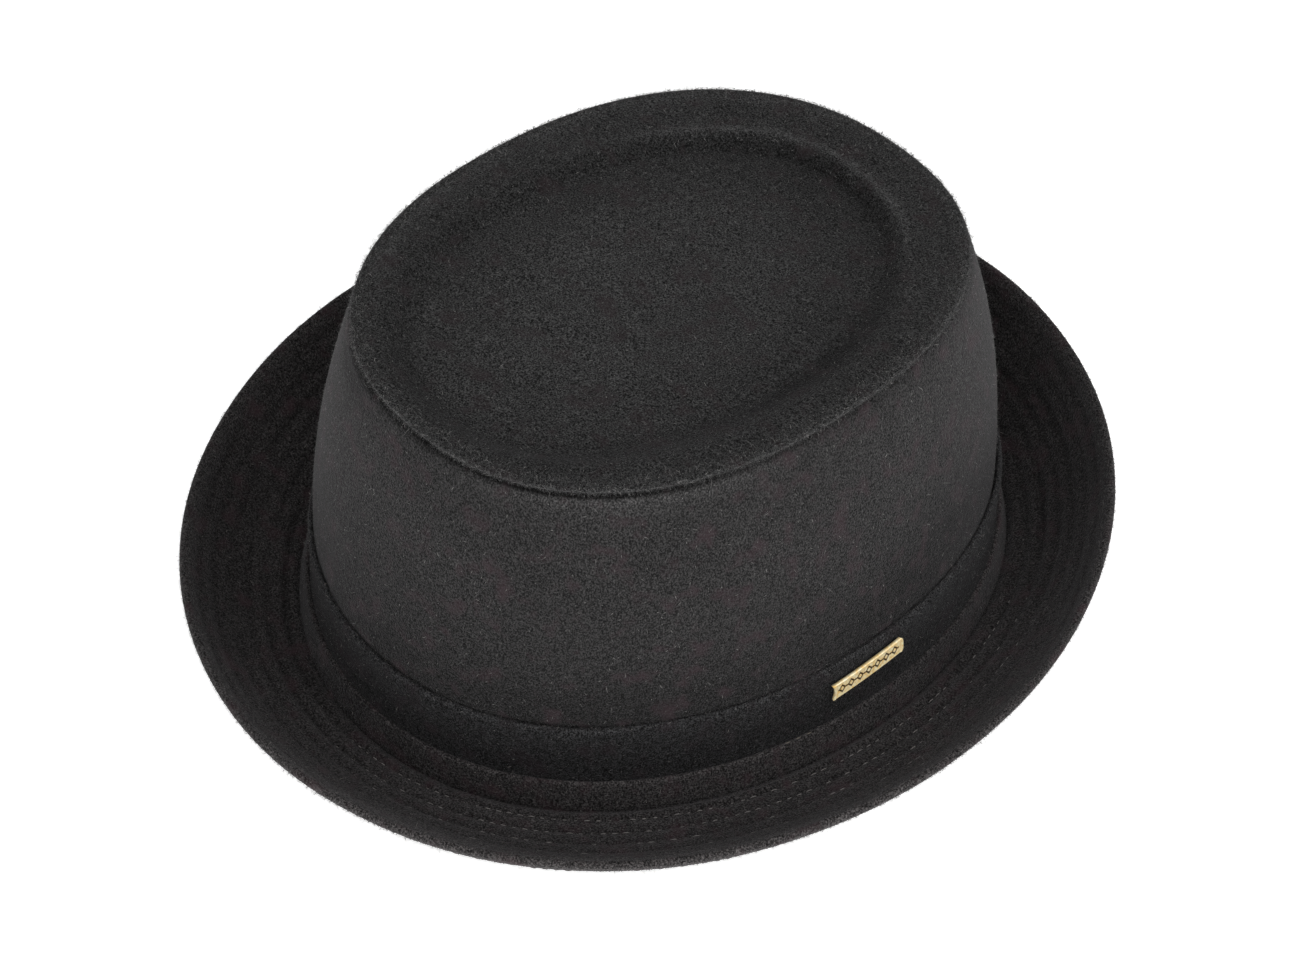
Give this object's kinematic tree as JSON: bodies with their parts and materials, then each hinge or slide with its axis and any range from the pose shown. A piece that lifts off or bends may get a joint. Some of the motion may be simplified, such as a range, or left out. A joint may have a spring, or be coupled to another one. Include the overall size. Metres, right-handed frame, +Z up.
{
  "type": "pork pie hat",
  "caption": "Wool felt cloth hat with a tapered flat-topped crown, a shallow oval recess in its tip, a self-cloth band and a stitched upturned brim.",
  "frame": {"origin": "centre of the hat's outline from above, on the surface it rests on", "axes": "+Z up, +Y towards the back of the head, +X towards the wearer's left"},
  "size_m": [0.2552, 0.279, 0.1117],
  "materials": {
    "crown_cloth": "napped wool felt cloth, charcoal",
    "band_cloth": "the same cloth, pressed smooth",
    "brim_cloth": "the same cloth, two-ply with stitch rows",
    "gilt_plate": "polished pale gilt with a raised border"
  },
  "bodies": {
    "root": {"crown_tip": "crown_cloth", "crown_side": "crown_cloth", "hat_band": "band_cloth", "brim": "brim_cloth", "band_plate": "gilt_plate"}
  },
  "joints": []
}
